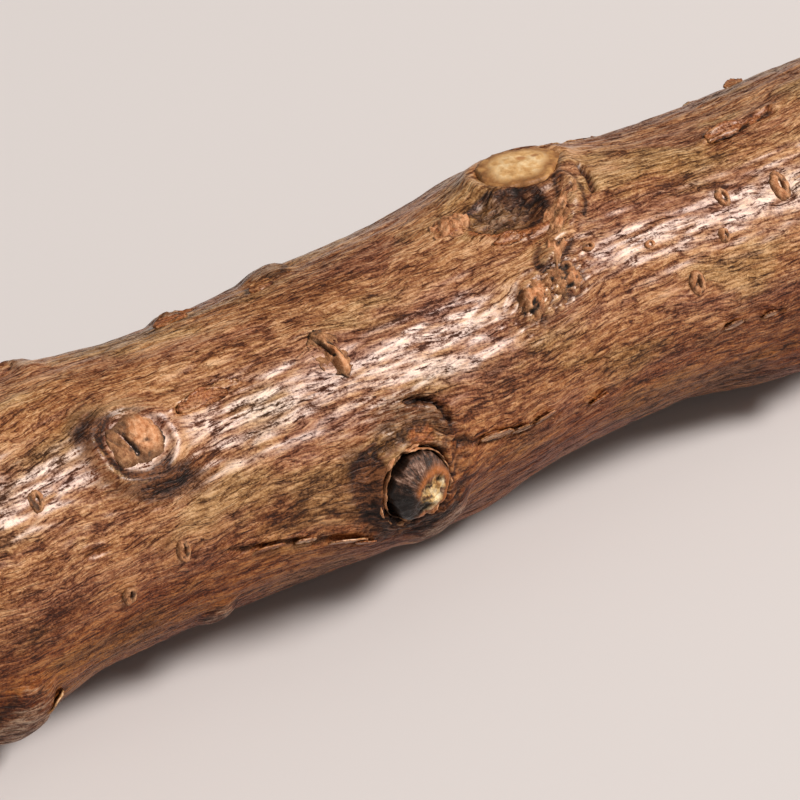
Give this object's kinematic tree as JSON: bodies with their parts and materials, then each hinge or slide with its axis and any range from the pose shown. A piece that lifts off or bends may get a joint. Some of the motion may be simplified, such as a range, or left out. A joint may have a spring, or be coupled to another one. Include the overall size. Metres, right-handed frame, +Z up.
{
  "type": "fallen tree branch",
  "caption": "Fallen length of a tree branch in its brown fibrous bark, with old twig scars, a broken twig stub, lenticels and snapped ends, lying on the ground.",
  "frame": {"origin": "centre of the branch's bounding box in plan, at the ground it lies on", "axes": "+X along the branch from its thicker butt end to its thinner tip, +Z up"},
  "size_m": [0.2026, 0.036, 0.0322],
  "materials": {
    "bark": "dry fibrous bark with a slightly waxy sheen, tan ridges over darker brown furrows",
    "bare_wood": "bare wood where the bark is gone, torn along the grain, matt"
  },
  "bodies": {
    "root": {"branch": "bark"}
  },
  "joints": []
}
